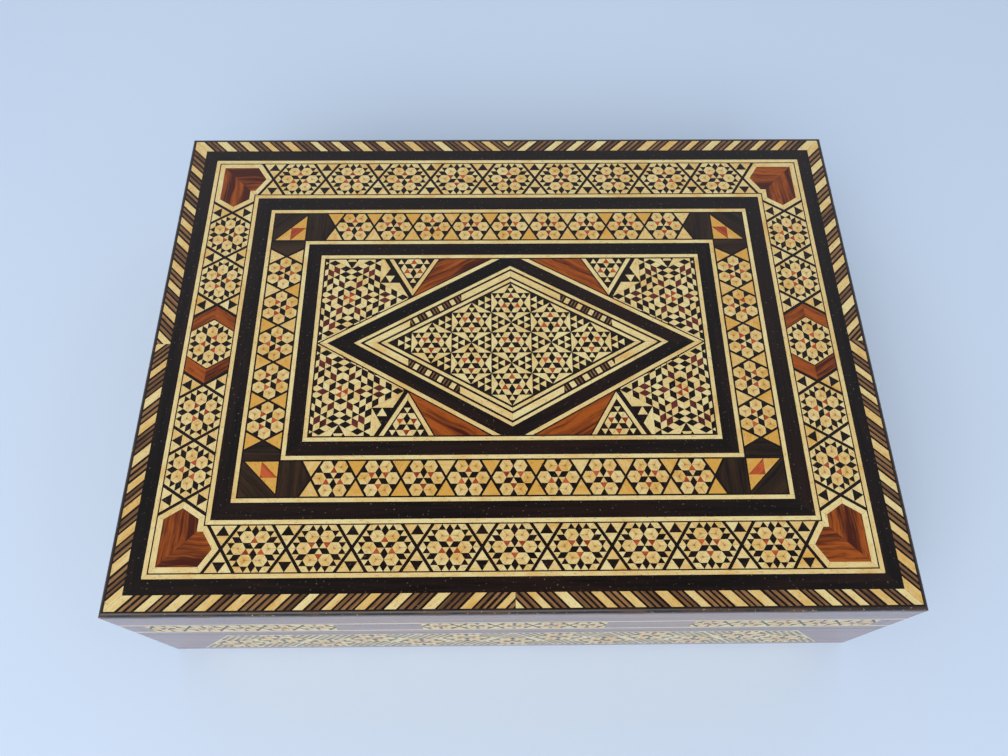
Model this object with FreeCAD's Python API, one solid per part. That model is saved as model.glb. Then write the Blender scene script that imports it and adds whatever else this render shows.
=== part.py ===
"""Hinged jewellery box of mitred boards, dressed with geometric wood and bone marquetry.

Lengths are in millimetres. X runs along the front, Y to the back and Z up. The origin is the middle
of the underside. The lid swings on two small butt hinges behind the back face.
"""
import FreeCAD
import Part
import math
import os

# Carcass
box_width = 272.0
box_depth = 201.0
base_height = 37.0
lid_height = 37.7
seam_gap = 0.3
wall_board = 9.0
bottom_board = 6.0
bottom_rebate = 4.0
lid_board = 8.0
side_veneer = 1.0
edge_radius = 1.4
cut_overrun = 2.0

# Lid-top marquetry, as widths met one after the other from the edge inwards
marquetry = 1.0
edge_width = 1.7
edge_height = 3.0
rope_width = 5.2
outer_ebony_width = 5.2
ivory_line = 1.55
outer_band_width = 16.8
outer_band_margin = 0.4
middle_ebony_width = 6.1
inner_band_margin = 0.55
inner_ebony_width = 5.4
panel_margin = 0.5

# Outer star band
outer_pitch = 22.0
outer_gap = 1.27
medallion_line = 0.35
chevron_width = 5.8
corner_border = 2.0

# Inner star band
inner_pitch = 15.8
inner_gap = 0.92
corner_square_line = 0.5
block_shoulder = 3.0
corner_triangle_margin = 1.0

# Central diamond, as widths met from its outline inwards
diamond_outline = 1.5
diamond_ebony = 5.0
diamond_line = 1.25
diamond_gap = 0.75
diamond_band = 2.4
diamond_crop = 4.2
diamond_side_count = 3
checker_start_share = 0.305
checker_end_share = 0.655
v_core_rows = 3
v_strip = 1.5
v_gap = 0.45

# Marquetry on the upright sides
lid_lower_margin = 5.7
side_line = 1.3
side_star_pitch = 14.3
side_star_gap = 0.8
side_star_margin = 0.45
side_star_count = 5
side_star_spacing = 24.0
side_star_end = 4.0
base_margin = 3.2
base_end = 11.0
zigzag_line = 1.2

# Velvet lining panels
lining = 1.5
lining_gap = 0.3
lining_drop = 1.5
floor_pad = 2.0

# Hinges
hinge_spacing = 160.0
hinge_length = 30.0
leaf_thickness = 0.9
leaf_depth = 8.0
barrel_radius = 2.0
barrel_gap = 0.3
knuckle_length = 10.0
knuckle_gap = 0.2
pin_radius = 0.9
pin_clearance = 0.05

# Height of the equal triangles that the marquetry is made of, for a side of one
sin60 = math.sin(math.radians(60))

# Levels
half_w = box_width / 2
half_d = box_depth / 2
lid_low = base_height + seam_gap
box_height = lid_low + lid_height
top_low = box_height - marquetry
lid_board_low = top_low - lid_board
edge_low = box_height - edge_height
inner_face = side_veneer + wall_board
lined_face = inner_face + lining

# Star tiles are six-sided, with two points along their band, and dark lines cross between them
outer_half = outer_band_width / 2 - outer_band_margin
outer_radius = (outer_pitch - outer_gap) / 2
inner_radius = (inner_pitch - inner_gap) / 2
inner_half = inner_radius * sin60
inner_band_width = 2 * (inner_half + inner_band_margin)

# Insets of the lid-top bands from the lid's edge
rope_inset = edge_width
outer_ebony_inset = rope_inset + rope_width
first_line_inset = outer_ebony_inset + outer_ebony_width
outer_band_inset = first_line_inset + ivory_line
second_line_inset = outer_band_inset + outer_band_width
middle_ebony_inset = second_line_inset + ivory_line
third_line_inset = middle_ebony_inset + middle_ebony_width
inner_band_inset = third_line_inset + ivory_line
fourth_line_inset = inner_band_inset + inner_band_width
inner_ebony_inset = fourth_line_inset + ivory_line
frame_inset = inner_ebony_inset + inner_ebony_width
panel_inset = frame_inset + ivory_line
outer_mid = outer_band_inset + outer_band_width / 2
inner_mid = inner_band_inset + inner_band_width / 2
panel_half_w = half_w - panel_inset - panel_margin
panel_half_d = half_d - panel_inset - panel_margin

# The diamond reaches the panel's short edges and is cropped by its long ones
diamond_x = panel_half_w - panel_margin
diamond_y = panel_half_d + diamond_crop
slope_x = diamond_y / math.hypot(diamond_x, diamond_y)
slope_y = diamond_x / math.hypot(diamond_x, diamond_y)

# Distances of the diamond's sides from its centre
diamond_out = diamond_x * slope_x
ebony_out = diamond_out - diamond_outline
second_line_out = ebony_out - diamond_ebony
band_out = second_line_out - diamond_line - diamond_gap
band_in = band_out - diamond_band
first_line_out = band_in - diamond_gap
mosaic_out = first_line_out - diamond_line - diamond_gap
star_step_x = mosaic_out / slope_x / diamond_side_count
star_step_y = mosaic_out / slope_y / diamond_side_count

# Triangles that stand on the panel's long edges with their points on the diamond
v_core_half = star_step_x / 2
v_core_height = v_core_rows * star_step_y / 2

# Upright sides
star_band_height = (side_star_pitch - side_star_gap) * sin60 + 2 * side_star_margin
lower_line_low = lid_low + lid_lower_margin
star_band_low = lower_line_low + side_line
upper_line_low = star_band_low + star_band_height
star_band_length = side_star_count * side_star_pitch
zigzag_height = base_height - 2 * base_margin
zigzag_side = zigzag_height / sin60

# Hinge axis
axis_y = half_d + barrel_gap + barrel_radius
axis_z = base_height + seam_gap / 2

quadrants = [(-1, -1), (1, -1), (1, 1), (-1, 1)]
sides = ["front", "right", "back", "left"]


def prism(points, low, high):
    """An upright prism on an outline in plan."""
    ring = [FreeCAD.Vector(x, y, low) for x, y in points]
    face = Part.Face(Part.makePolygon(ring + ring[:1]))
    return face.extrude(FreeCAD.Vector(0, 0, high - low))


def slice_of(points):
    """A marquetry slice: an outline as thick as the lid-top veneer."""
    return prism(points, top_low, box_height)


def block(x_low, x_high, y_low, y_high, low, high):
    """A box between two corners."""
    corner = FreeCAD.Vector(x_low, y_low, low)
    return Part.makeBox(x_high - x_low, y_high - y_low, high - low, corner)


def corners(inset):
    """Corners in plan of the rectangle at an inset from the box's edge."""
    return [(i * (half_w - inset), j * (half_d - inset)) for i, j in quadrants]


def mitred_frame(outer_inset, inner_inset, low, high):
    """Four strips mitred at the corners: front, right, back and left."""
    outer = corners(outer_inset)
    inner = corners(inner_inset)
    strips = []
    for i in range(len(sides)):
        j = (i + 1) % len(sides)
        strips.append(prism([outer[i], outer[j], inner[j], inner[i]], low, high))
    return strips


def butted_frame(outer_inset, inner_inset):
    """Four lid-top strips, the long ones whole and the short ones between them."""
    x_out, y_out = half_w - outer_inset, half_d - outer_inset
    x_in, y_in = half_w - inner_inset, half_d - inner_inset
    return [
        block(-x_out, x_out, -y_out, -y_in, top_low, box_height),
        block(-x_out, x_out, y_in, y_out, top_low, box_height),
        block(-x_out, -x_in, -y_in, y_in, top_low, box_height),
        block(x_in, x_out, -y_in, y_in, top_low, box_height),
    ]


def inset_outline(points, distance):
    """An outline drawn in by a distance, for points that run anticlockwise."""
    moved = []
    for i in range(len(points)):
        before, here, after = points[i - 1], points[i], points[(i + 1) % len(points)]
        lines = []
        for start, end in ((before, here), (here, after)):
            run = math.hypot(end[0] - start[0], end[1] - start[1])
            normal = ((start[1] - end[1]) / run, (end[0] - start[0]) / run)
            lines.append((normal, normal[0] * here[0] + normal[1] * here[1] + distance))
        (a, p), (b, q) = lines
        area = a[0] * b[1] - a[1] * b[0]
        moved.append(((p * b[1] - q * a[1]) / area, (a[0] * q - b[0] * p) / area))
    return moved


def on_side(side, mid_inset, points):
    """Outline points given along a lid side and outwards from a band's middle, placed in plan."""
    x_mid, y_mid = half_w - mid_inset, half_d - mid_inset
    place = {
        "front": lambda s, t: (s, -y_mid - t),
        "right": lambda s, t: (x_mid + t, s),
        "back": lambda s, t: (-s, y_mid + t),
        "left": lambda s, t: (-x_mid - t, -s),
    }[side]
    return [place(s, t) for s, t in points]


def side_length(side):
    """Length of an upright side."""
    return box_width if side in ("front", "back") else box_depth


def edge_banding():
    """Mitred strips with a quarter-round outer top edge."""
    solid = block(-half_w, half_w, -half_d, half_d, edge_low, box_height)
    top = [edge for edge in solid.Edges if min(v.Z for v in edge.Vertexes) > edge_low]
    solid = solid.makeFillet(min(edge_radius, edge_height, edge_width), top)
    return [strip.common(solid) for strip in mitred_frame(0, edge_width, edge_low, box_height)]


def veneer_frame(low, high):
    """Mitred strips of side veneer round the box."""
    return mitred_frame(0, side_veneer, low, high)


def stood_on_side(side, points, thickness):
    """An outline given along an upright side and up it, as an inlay as deep as the veneer."""
    ring = [FreeCAD.Vector(s, -half_d, z) for s, z in points]
    turn = sides.index(side)
    reach = half_d if side in ("front", "back") else half_w
    solid = Part.Face(Part.makePolygon(ring + ring[:1])).extrude(FreeCAD.Vector(0, thickness, 0))
    solid.translate(FreeCAD.Vector(0, half_d - reach, 0))
    solid.rotate(FreeCAD.Vector(0, 0, 0), FreeCAD.Vector(0, 0, 1), turn * 90)
    return solid


def star_outline(place, radius, half):
    """A six-sided star tile with two points along its band."""
    return [
        (place + radius, 0),
        (place + radius / 2, half),
        (place - radius / 2, half),
        (place - radius, 0),
        (place - radius / 2, -half),
        (place + radius / 2, -half),
    ]


def gap_outline(place, side, radius, half, gap):
    """The triangle between two crossing lines and one edge of a band."""
    steepness = 2 * half / radius
    point = gap / 2 * steepness
    base = (half - point) / steepness
    return [(place, side * point), (place + base, side * half), (place - base, side * half)]


def star_places(count, pitch):
    """Places of star tiles spread evenly about a side's middle."""
    return [(i - (count - 1) / 2) * pitch for i in range(count)]


def cross_places(count, pitch):
    """Places where the dark lines cross: between the tiles and beyond the last ones."""
    return [(i - count / 2) * pitch for i in range(count + 1)]


def outer_layout(side):
    """Places of the outer band's star tiles and of its crossings on one side."""
    reach = side_length(side) / 2 - outer_mid - outer_half - (outer_radius + outer_gap) / 2
    if side in ("front", "back"):
        count = int(2 * reach / outer_pitch)
        return star_places(count, outer_pitch), cross_places(count, outer_pitch)
    first = outer_radius + medallion_line + chevron_width + outer_gap / 2
    count = int((reach - first) / outer_pitch)
    crosses = [first + i * outer_pitch for i in range(count + 1)]
    stars = [(before + after) / 2 for before, after in zip(crosses, crosses[1:])]
    return [s * sign for s in stars for sign in (-1, 1)], [c * sign for c in crosses for sign in (-1, 1)]


def inner_layout(side):
    """Places of the inner band's star tiles and of its crossings on one side."""
    reach = side_length(side) / 2 - inner_mid - inner_half - (inner_radius + inner_gap) / 2
    count = int(2 * (reach - block_shoulder) / inner_pitch)
    return star_places(count, inner_pitch), cross_places(count, inner_pitch)


def outer_band():
    """The outer star band: tiles, gap triangles, medallions, chevrons and corner tiles."""
    stars, gaps, medallions, chevrons = [], [], [], []
    for side in sides:
        star_list, cross_list = outer_layout(side)
        for place in star_list:
            outline = star_outline(place, outer_radius, outer_half)
            stars.append(slice_of(on_side(side, outer_mid, outline)))
        for place in cross_list:
            for edge in (-1, 1):
                outline = gap_outline(place, edge, outer_radius, outer_half, outer_gap)
                gaps.append(slice_of(on_side(side, outer_mid, outline)))
        if side in ("left", "right"):
            outline = star_outline(0, outer_radius, outer_half)
            medallions.append(slice_of(on_side(side, outer_mid, outline)))
            near = outer_radius + medallion_line
            far = near + chevron_width
            for end in (-1, 1):
                for edge in (-1, 1):
                    foot = edge * outer_half
                    run = outer_radius / 2
                    outline = [(near, 0), (far, 0), (far - run, foot), (near - run, foot)]
                    outline = [(end * s, t) for s, t in outline]
                    chevrons.append(slice_of(on_side(side, outer_mid, outline)))
    borders, rosewood = corner_tiles()
    laid = stars + gaps + medallions + chevrons + borders + rosewood
    band = mitred_frame(outer_band_inset, second_line_inset, top_low, box_height)
    ground = band[0].fuse(band[1:]).removeSplitter().cut(laid)
    return {
        "outer_star_tiles": stars,
        "outer_gap_triangles": gaps,
        "medallion_tiles": medallions,
        "medallion_chevrons": chevrons,
        "corner_ivory_borders": borders,
        "corner_rosewood_tiles": rosewood,
        "outer_band_ground": ground.Solids,
    }


def corner_tiles():
    """Pointed two-armed corner tiles: mitred ivory strips round rosewood parted on the diagonal."""
    x_tip = max(outer_layout("front")[1]) + outer_gap / 2
    y_tip = max(outer_layout("right")[1]) + outer_gap / 2
    run = outer_radius / 2
    x_mid, y_mid = half_w - outer_mid, half_d - outer_mid
    x_out, y_out = x_mid + outer_half, y_mid + outer_half
    x_in, y_in = x_mid - outer_half, y_mid - outer_half
    outline = [
        (x_out, y_out),
        (x_tip + run, y_out),
        (x_tip, y_mid),
        (x_tip + run, y_in),
        (x_in, y_in),
        (x_in, y_tip + run),
        (x_mid, y_tip),
        (x_out, y_tip + run),
    ]
    core = inset_outline(outline, corner_border)
    halves = [core[0:5], core[4:] + core[:1]]
    ring = list(zip(outline, core))
    strips = [[a, b, d, c] for (a, c), (b, d) in zip(ring, ring[1:] + ring[:1])]
    borders, rosewood = [], []
    for i, j in quadrants:
        borders += [slice_of([(i * x, j * y) for x, y in strip]) for strip in strips]
        rosewood += [slice_of([(i * x, j * y) for x, y in half]) for half in halves]
    return borders, rosewood


def inner_band():
    """The inner star band: tiles, gap triangles, pointed end blocks and corner squares."""
    stars, gaps, blocks, triangles = [], [], [], []
    for side in sides:
        star_list, cross_list = inner_layout(side)
        for place in star_list:
            outline = star_outline(place, inner_radius, inner_half)
            stars.append(slice_of(on_side(side, inner_mid, outline)))
        for place in cross_list:
            for edge in (-1, 1):
                outline = gap_outline(place, edge, inner_radius, inner_half, inner_gap)
                gaps.append(slice_of(on_side(side, inner_mid, outline)))
        tip = max(cross_list) + inner_gap / 2
        end = side_length(side) / 2 - inner_mid - inner_half - corner_square_line
        shoulder = tip + inner_radius / 2
        edges = [(shoulder, inner_half), (end, inner_half), (end, -inner_half), (shoulder, -inner_half)]
        for sign in (-1, 1):
            outline = [(sign * s, t) for s, t in [(tip, 0)] + edges]
            blocks.append(slice_of(on_side(side, inner_mid, outline)))
    x_in, y_in = half_w - inner_mid - inner_half, half_d - inner_mid - inner_half
    size = 2 * inner_half
    leg = size - corner_triangle_margin
    start = leg + corner_square_line
    triangle = [(0, 0), (leg, 0), (0, leg)]
    rest = [(start, 0), (size, 0), (size, size), (0, size), (0, start)]
    for i, j in quadrants:
        triangles.append(slice_of([(i * (x_in + x), j * (y_in + y)) for x, y in triangle]))
        blocks.append(slice_of([(i * (x_in + x), j * (y_in + y)) for x, y in rest]))
    band = mitred_frame(inner_band_inset, fourth_line_inset, top_low, box_height)
    ground = band[0].fuse(band[1:]).removeSplitter().cut(stars + gaps + blocks + triangles)
    return {
        "inner_star_tiles": stars,
        "inner_gap_triangles": gaps,
        "inner_walnut_blocks": blocks,
        "inner_corner_triangles": triangles,
        "inner_band_ground": ground.Solids,
    }


def rhombus(distance):
    """A lid-top rhombus whose four sides lie at a distance from the lid's middle."""
    x, y = distance / slope_x, distance / slope_y
    return slice_of([(x, 0), (0, y), (-x, 0), (0, -y)])


def panel_quadrant(i, j):
    """One quarter of the central panel."""
    x, y = i * panel_half_w, j * panel_half_d
    return slice_of([(0, 0), (x, 0), (x, y), (0, y)])


def diamond_strips(outer, inner):
    """Four strips of a diamond frame, mitred at its points and trimmed by the panel's edges."""
    ring = rhombus(outer).cut(rhombus(inner))
    strips = []
    for i, j in quadrants:
        strips += ring.common(panel_quadrant(i, j)).Solids
    return strips


def checker_band():
    """The diamond's middle band: ivory ends and a checkered stretch on each of its four strips."""
    reach = band_out / slope_x
    ends, checkers = [], []
    for strip in diamond_strips(band_out, band_in):
        sign = 1 if strip.CenterOfMass.x > 0 else -1
        near = reach * (1 - checker_start_share)
        far = reach * (1 - checker_end_share)
        x_low, x_high = sorted((sign * near, sign * far))
        window = block(x_low, x_high, -half_d, half_d, top_low, box_height)
        checkers += strip.common(window).Solids
        ends += strip.cut(window).Solids
    return ends, checkers


def star_mosaic():
    """Star hexagons that touch at their points, and the triangles between them."""
    reach = (diamond_side_count - 1) // 2
    steps = range(-reach, reach + 1)
    stars, gaps = [], []
    for i in steps:
        for j in steps:
            x = star_step_x * (i + j)
            y = star_step_y * (i - j)
            outline = star_outline(0, star_step_y, star_step_x / 2)
            stars.append(slice_of([(x + t, y + s) for s, t in outline]))
            for sign in (-1, 1):
                near, far = x + sign * star_step_x / 2, x + sign * star_step_x
                gaps.append(slice_of([(near, y + star_step_y / 2), (near, y - star_step_y / 2), (far, y)]))
    return stars, gaps


def panel():
    """The central panel: diamond, corner mosaics, framed triangles and rosewood triangles."""
    core = [(0, panel_half_d - v_core_height), (v_core_half, panel_half_d), (-v_core_half, panel_half_d)]
    strip_in = inset_outline(core, -v_gap)
    strip_out = inset_outline(core, -v_gap - v_strip)
    keep_out = inset_outline(core, -v_gap - v_strip - v_gap)
    place = (diamond_out - keep_out[0][1] * slope_y) / slope_x
    core, strip_in, strip_out, keep_out = [
        [(x + place, y) for x, y in outline] for outline in (core, strip_in, strip_out, keep_out)
    ]
    corner_mosaics, rosewood, cores, strips = [], [], [], []
    for i, j in quadrants:
        core_slice, inner_slice, outer_slice, cut_slice = [
            slice_of([(i * x, j * y) for x, y in outline]) for outline in (core, strip_in, strip_out, keep_out)
        ]
        quarter = panel_quadrant(i, j)
        field = quarter.cut([rhombus(diamond_out + v_gap), cut_slice])
        x_low, x_high = sorted((i * place, i * half_w))
        beyond = block(x_low, x_high, -half_d, half_d, top_low, box_height)
        corner_mosaics += field.common(beyond).Solids
        rosewood += field.cut(beyond).Solids
        cores.append(core_slice)
        strip = outer_slice.cut(inner_slice).common(quarter)
        strips += strip.common(beyond).Solids + strip.cut(beyond).Solids
    ends, checkers = checker_band()
    pieces = {
        "diamond_ivory_outline": diamond_strips(diamond_out, ebony_out),
        "diamond_ebony_band": diamond_strips(ebony_out, second_line_out),
        "diamond_ivory_lines": diamond_strips(second_line_out, second_line_out - diamond_line)
        + diamond_strips(first_line_out, first_line_out - diamond_line),
        "diamond_ivory_band": ends,
        "diamond_checker_blocks": checkers,
        "corner_mosaics": corner_mosaics,
        "rosewood_triangles": rosewood,
        "triangle_mosaics": cores,
        "ivory_v_strips": strips,
    }
    laid = [rhombus(mosaic_out)] + [solid for solids in pieces.values() for solid in solids]
    pieces["diamond_star_tiles"], pieces["diamond_gap_triangles"] = star_mosaic()
    pieces["panel_ground"] = slice_of(corners(panel_inset)).cut(laid).Solids
    return pieces


def rope_strips():
    """Rope banding, mitred at the corners and parted at the middle of each side."""
    strips = []
    for strip in mitred_frame(rope_inset, outer_ebony_inset, top_low, box_height):
        across = strip.BoundBox.XLength > strip.BoundBox.YLength
        half = block(-half_w, 0, -half_d, half_d, top_low, box_height)
        if not across:
            half = block(-half_w, half_w, -half_d, 0, top_low, box_height)
        strips += [strip.common(half), strip.cut(half)]
    return strips


def lid_top():
    """All slices laid on the lid board, band by band from the edge to the middle."""
    pieces = {
        "lid_edge_banding": edge_banding(),
        "rope_banding": rope_strips(),
        "outer_ebony_band": mitred_frame(outer_ebony_inset, first_line_inset, top_low, box_height),
        "first_ivory_line": mitred_frame(first_line_inset, outer_band_inset, top_low, box_height),
        "second_ivory_line": mitred_frame(second_line_inset, middle_ebony_inset, top_low, box_height),
        "middle_ebony_band": mitred_frame(middle_ebony_inset, third_line_inset, top_low, box_height),
        "third_ivory_line": butted_frame(third_line_inset, inner_band_inset),
        "fourth_ivory_line": butted_frame(fourth_line_inset, inner_ebony_inset),
        "inner_ebony_band": mitred_frame(inner_ebony_inset, frame_inset, top_low, box_height),
        "panel_ivory_frame": butted_frame(frame_inset, panel_inset),
    }
    pieces.update(outer_band())
    pieces.update(inner_band())
    pieces.update(panel())
    return pieces


def zigzag(side):
    """One base side's row of mosaic triangles and the ivory lattice that holds them."""
    length = side_length(side)
    count = int((length - 2 * base_end) / zigzag_side)
    left = -count * zigzag_side / 2
    low, high = base_margin, base_height - base_margin
    tiles = []
    for i in range(count):
        foot = left + i * zigzag_side
        middle = foot + zigzag_side / 2
        tiles.append([(foot, low), (foot + zigzag_side, low), (middle, high)])
        if i + 1 < count:
            tiles.append([(middle, high), (foot + zigzag_side, low), (middle + zigzag_side, high)])
    tiles = [stood_on_side(side, inset_outline(t, zigzag_line / 2), side_veneer) for t in tiles]
    slant = zigzag_side / 2
    outline = [(left, low), (-left, low), (-left - slant, high), (left + slant, high)]
    whole = stood_on_side(side, outline, side_veneer)
    return tiles, whole.cut(tiles), whole


def base_sides(mortises):
    """Veneers of the base: wood grounds, ivory zigzag lattices and mosaic triangles."""
    grounds, lattices, tiles = [], [], []
    for side, ground in zip(sides, veneer_frame(0, base_height)):
        side_tiles, lattice, whole = zigzag(side)
        grounds.append(ground.cut([whole] + mortises))
        lattices.append(lattice)
        tiles += side_tiles
    return {
        "base_side_veneers": grounds,
        "base_zigzag_lattices": lattices,
        "base_mosaic_triangles": tiles,
    }


def lid_sides(mortises):
    """Veneers of the lid's rim: wood grounds, two ivory lines and stretches of star banding."""
    grounds, lines, bands = [], [], []
    for low, high in ((lower_line_low, star_band_low), (upper_line_low, upper_line_low + side_line)):
        lines += veneer_frame(low, high)
    grounds += [strip.cut(mortises) for strip in veneer_frame(lid_low, lower_line_low)]
    grounds += veneer_frame(upper_line_low + side_line, edge_low)
    for side, ground in zip(sides, veneer_frame(star_band_low, upper_line_low)):
        step = star_band_length + side_star_spacing
        count = int((side_length(side) - 2 * side_star_end + side_star_spacing) / step)
        cuts = []
        for place in star_places(count, step):
            near, far = place - star_band_length / 2, place + star_band_length / 2
            low, high = star_band_low, upper_line_low
            outline = [(near, low), (far, low), (far, high), (near, high)]
            cuts.append(stood_on_side(side, outline, side_veneer))
        grounds += ground.cut(cuts).Solids
        bands += cuts
    return {"lid_side_veneers": grounds, "lid_side_ivory_lines": lines, "lid_side_star_bands": bands}


def hinge_rod(x, radius):
    """A rod along a hinge's axis, as long as the hinge."""
    start = FreeCAD.Vector(x - hinge_length / 2, axis_y, axis_z)
    return Part.makeCylinder(radius, hinge_length, start, FreeCAD.Vector(1, 0, 0))


def hinge_leaf(x, upper):
    """One hinge leaf with its own knuckles, notched round the other leaf's."""
    low = lid_low if upper else base_height - leaf_thickness
    high = low + leaf_thickness
    near = half_d - leaf_depth
    notch = axis_y - barrel_radius - barrel_gap
    middle = (x - knuckle_length / 2, x + knuckle_length / 2)
    start, end = x - hinge_length / 2, x + hinge_length / 2
    spans = [(start, middle[0] - knuckle_gap), (middle[1] + knuckle_gap, end)]
    bore = pin_radius
    if upper:
        spans = [middle]
        bore = pin_radius + pin_clearance
    leaf = block(start, end, near, notch, low, high)
    for left, right in spans:
        place = FreeCAD.Vector(left, axis_y, axis_z)
        barrel = Part.makeCylinder(barrel_radius, right - left, place, FreeCAD.Vector(1, 0, 0))
        leaf = leaf.fuse([block(left, right, near, axis_y, low, high), barrel])
    return leaf.removeSplitter().cut(hinge_rod(x, bore))


def hinges():
    """Two butt hinges: leaves, pins, and the mortises cut for the leaves."""
    parts = {"hinge_lower_leaves": [], "hinge_upper_leaves": [], "hinge_pins": []}
    mortises = []
    for x in (-hinge_spacing / 2, hinge_spacing / 2):
        parts["hinge_lower_leaves"].append(hinge_leaf(x, False))
        parts["hinge_upper_leaves"].append(hinge_leaf(x, True))
        parts["hinge_pins"].append(hinge_rod(x, pin_radius))
        left, right = x - hinge_length / 2, x + hinge_length / 2
        near, far = half_d - leaf_depth, half_d + cut_overrun
        low, high = base_height - leaf_thickness, lid_low + leaf_thickness
        mortises.append(block(left, right, near, far, low, high))
    return parts, mortises


def carcass_boards(mortises):
    """Mitred boards of the base and lid, the rebated bottom and the lid board."""
    parts = {}
    floor = corners(inner_face - bottom_rebate)
    parts["base_bottom_board"] = [prism(floor, 0, bottom_board)]
    for side, board in zip(sides, mitred_frame(side_veneer, inner_face, 0, base_height)):
        parts[f"base_{side}_board"] = [board.cut(parts["base_bottom_board"] + mortises)]
    for side, rail in zip(sides, mitred_frame(side_veneer, inner_face, lid_low, lid_board_low)):
        parts[f"lid_{side}_rail"] = [rail.cut(mortises)]
    rebate = mitred_frame(0, edge_width, edge_low, box_height)
    parts["lid_board"] = [prism(corners(side_veneer), lid_board_low, top_low).cut(rebate)]
    return parts


def linings():
    """Velvet-covered panels inside the base and the lid."""
    pad = corners(lined_face + lining_gap)
    return {
        "base_floor_lining": [prism(pad, bottom_board, bottom_board + floor_pad)],
        "base_wall_linings": mitred_frame(inner_face, lined_face, bottom_board, base_height - lining_drop),
        "lid_top_lining": [prism(pad, lid_board_low - lining, lid_board_low)],
        "lid_wall_linings": mitred_frame(inner_face, lined_face, lid_low + lining_drop, lid_board_low),
    }


def build():
    """Make every piece and write one file for each node."""
    hinge_parts, mortises = hinges()
    parts = carcass_boards(mortises)
    parts.update(base_sides(mortises))
    parts.update(lid_sides(mortises))
    parts.update(lid_top())
    parts.update(linings())
    parts.update(hinge_parts)
    os.makedirs("parts", exist_ok=True)
    for name, solids in parts.items():
        shape = solids[0] if len(solids) == 1 else Part.makeCompound(solids)
        shape.exportStep(f"parts/{name}.step")
        print(name, len(shape.Solids), round(shape.Volume, 2), shape.isValid())
    print("nodes", len(parts))


build()
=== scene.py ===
"""Looks of a hinged jewellery box dressed with geometric wood and bone marquetry.

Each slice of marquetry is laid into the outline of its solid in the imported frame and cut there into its
small pieces, so nothing is measured twice. Lengths are in metres, and MM turns millimetres into them.
"""
import logging
import math
import random
from collections import defaultdict
from dataclasses import dataclass, field
from enum import Enum
from typing import Iterator

import bmesh
import bpy
from bmesh.types import BMesh, BMFace
from mathutils import Matrix, Vector


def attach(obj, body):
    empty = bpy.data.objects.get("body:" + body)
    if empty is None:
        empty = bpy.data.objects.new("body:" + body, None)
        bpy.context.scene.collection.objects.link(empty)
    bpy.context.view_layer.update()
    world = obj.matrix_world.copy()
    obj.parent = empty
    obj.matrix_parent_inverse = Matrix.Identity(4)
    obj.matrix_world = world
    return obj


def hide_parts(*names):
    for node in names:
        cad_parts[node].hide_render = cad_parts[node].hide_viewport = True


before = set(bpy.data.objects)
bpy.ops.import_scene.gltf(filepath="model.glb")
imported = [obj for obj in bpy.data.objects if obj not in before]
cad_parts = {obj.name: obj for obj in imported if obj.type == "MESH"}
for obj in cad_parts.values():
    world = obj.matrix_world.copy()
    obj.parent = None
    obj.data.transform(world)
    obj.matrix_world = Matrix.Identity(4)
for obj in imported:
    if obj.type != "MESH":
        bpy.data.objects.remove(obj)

MM = 0.001
SIXTH = math.tau / 6
SIN60 = math.sin(SIXTH)
UP = Vector((0, 0, 1))
SIDES = (Vector((0, -1, 0)), Vector((1, 0, 0)), Vector((0, 1, 0)), Vector((-1, 0, 0)))
CUT_REACH = 1e-7
STRIPE_REACH = 1e-6
WELD_REACH = 0.002 * MM
FLAT_ANGLE = math.radians(0.5)
BEND_ANGLE = 0.01
SAME_WAY = 0.999
SAME_LEVEL = 0.1 * MM
SQUARE_REACH = 0.05 * MM
GROUND_DEPTH = 0.03 * MM
MAP_MARGIN = 0.2 * MM
Colour = tuple[float, float, float]

log = logging.getLogger("inlaid_box")


def tint(red: int, green: int, blue: int) -> Colour:
    """A colour as the eye reads it, 0 to 255, turned into the shader's linear values."""
    shares = (red / 255, green / 255, blue / 255)
    return tuple(((c + 0.055) / 1.055) ** 2.4 if c > 0.0393 else c / 12.92 for c in shares)


class Inlay(Enum):
    """What a piece of marquetry is cut from."""

    BONE = 0
    EBONY = 1
    ROSEWOOD = 2
    WALNUT = 3
    RED = 4
    MAROON = 5
    BROWN = 6
    GLUE = 7
    VENEER = 8


class Sectors(Enum):
    """Which of a star's six sectors hold a piece."""

    EVERY = (0, 1)
    EVEN = (0,)
    ODD = (1,)

    def hold(self, sector: int) -> bool:
        """Whether a sector of this number holds the piece."""
        return sector % 2 in self.value


class Grain(Enum):
    """Where a finish reads its grain: from the piece's own map, or from its sides."""

    MAP = "map"
    SIDES = "sides"


class Run(Enum):
    """Which of a piece's edges its grain runs along."""

    LONGEST = "longest"
    SQUARE = "square"

    def pick(self, edges: list[Vector]) -> list[Vector]:
        """The edges that suit: any, or those in line with the box."""
        square = [edge for edge in edges if min(abs(edge.x), abs(edge.y)) < SQUARE_REACH]
        return square if self is Run.SQUARE and square else edges


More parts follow.
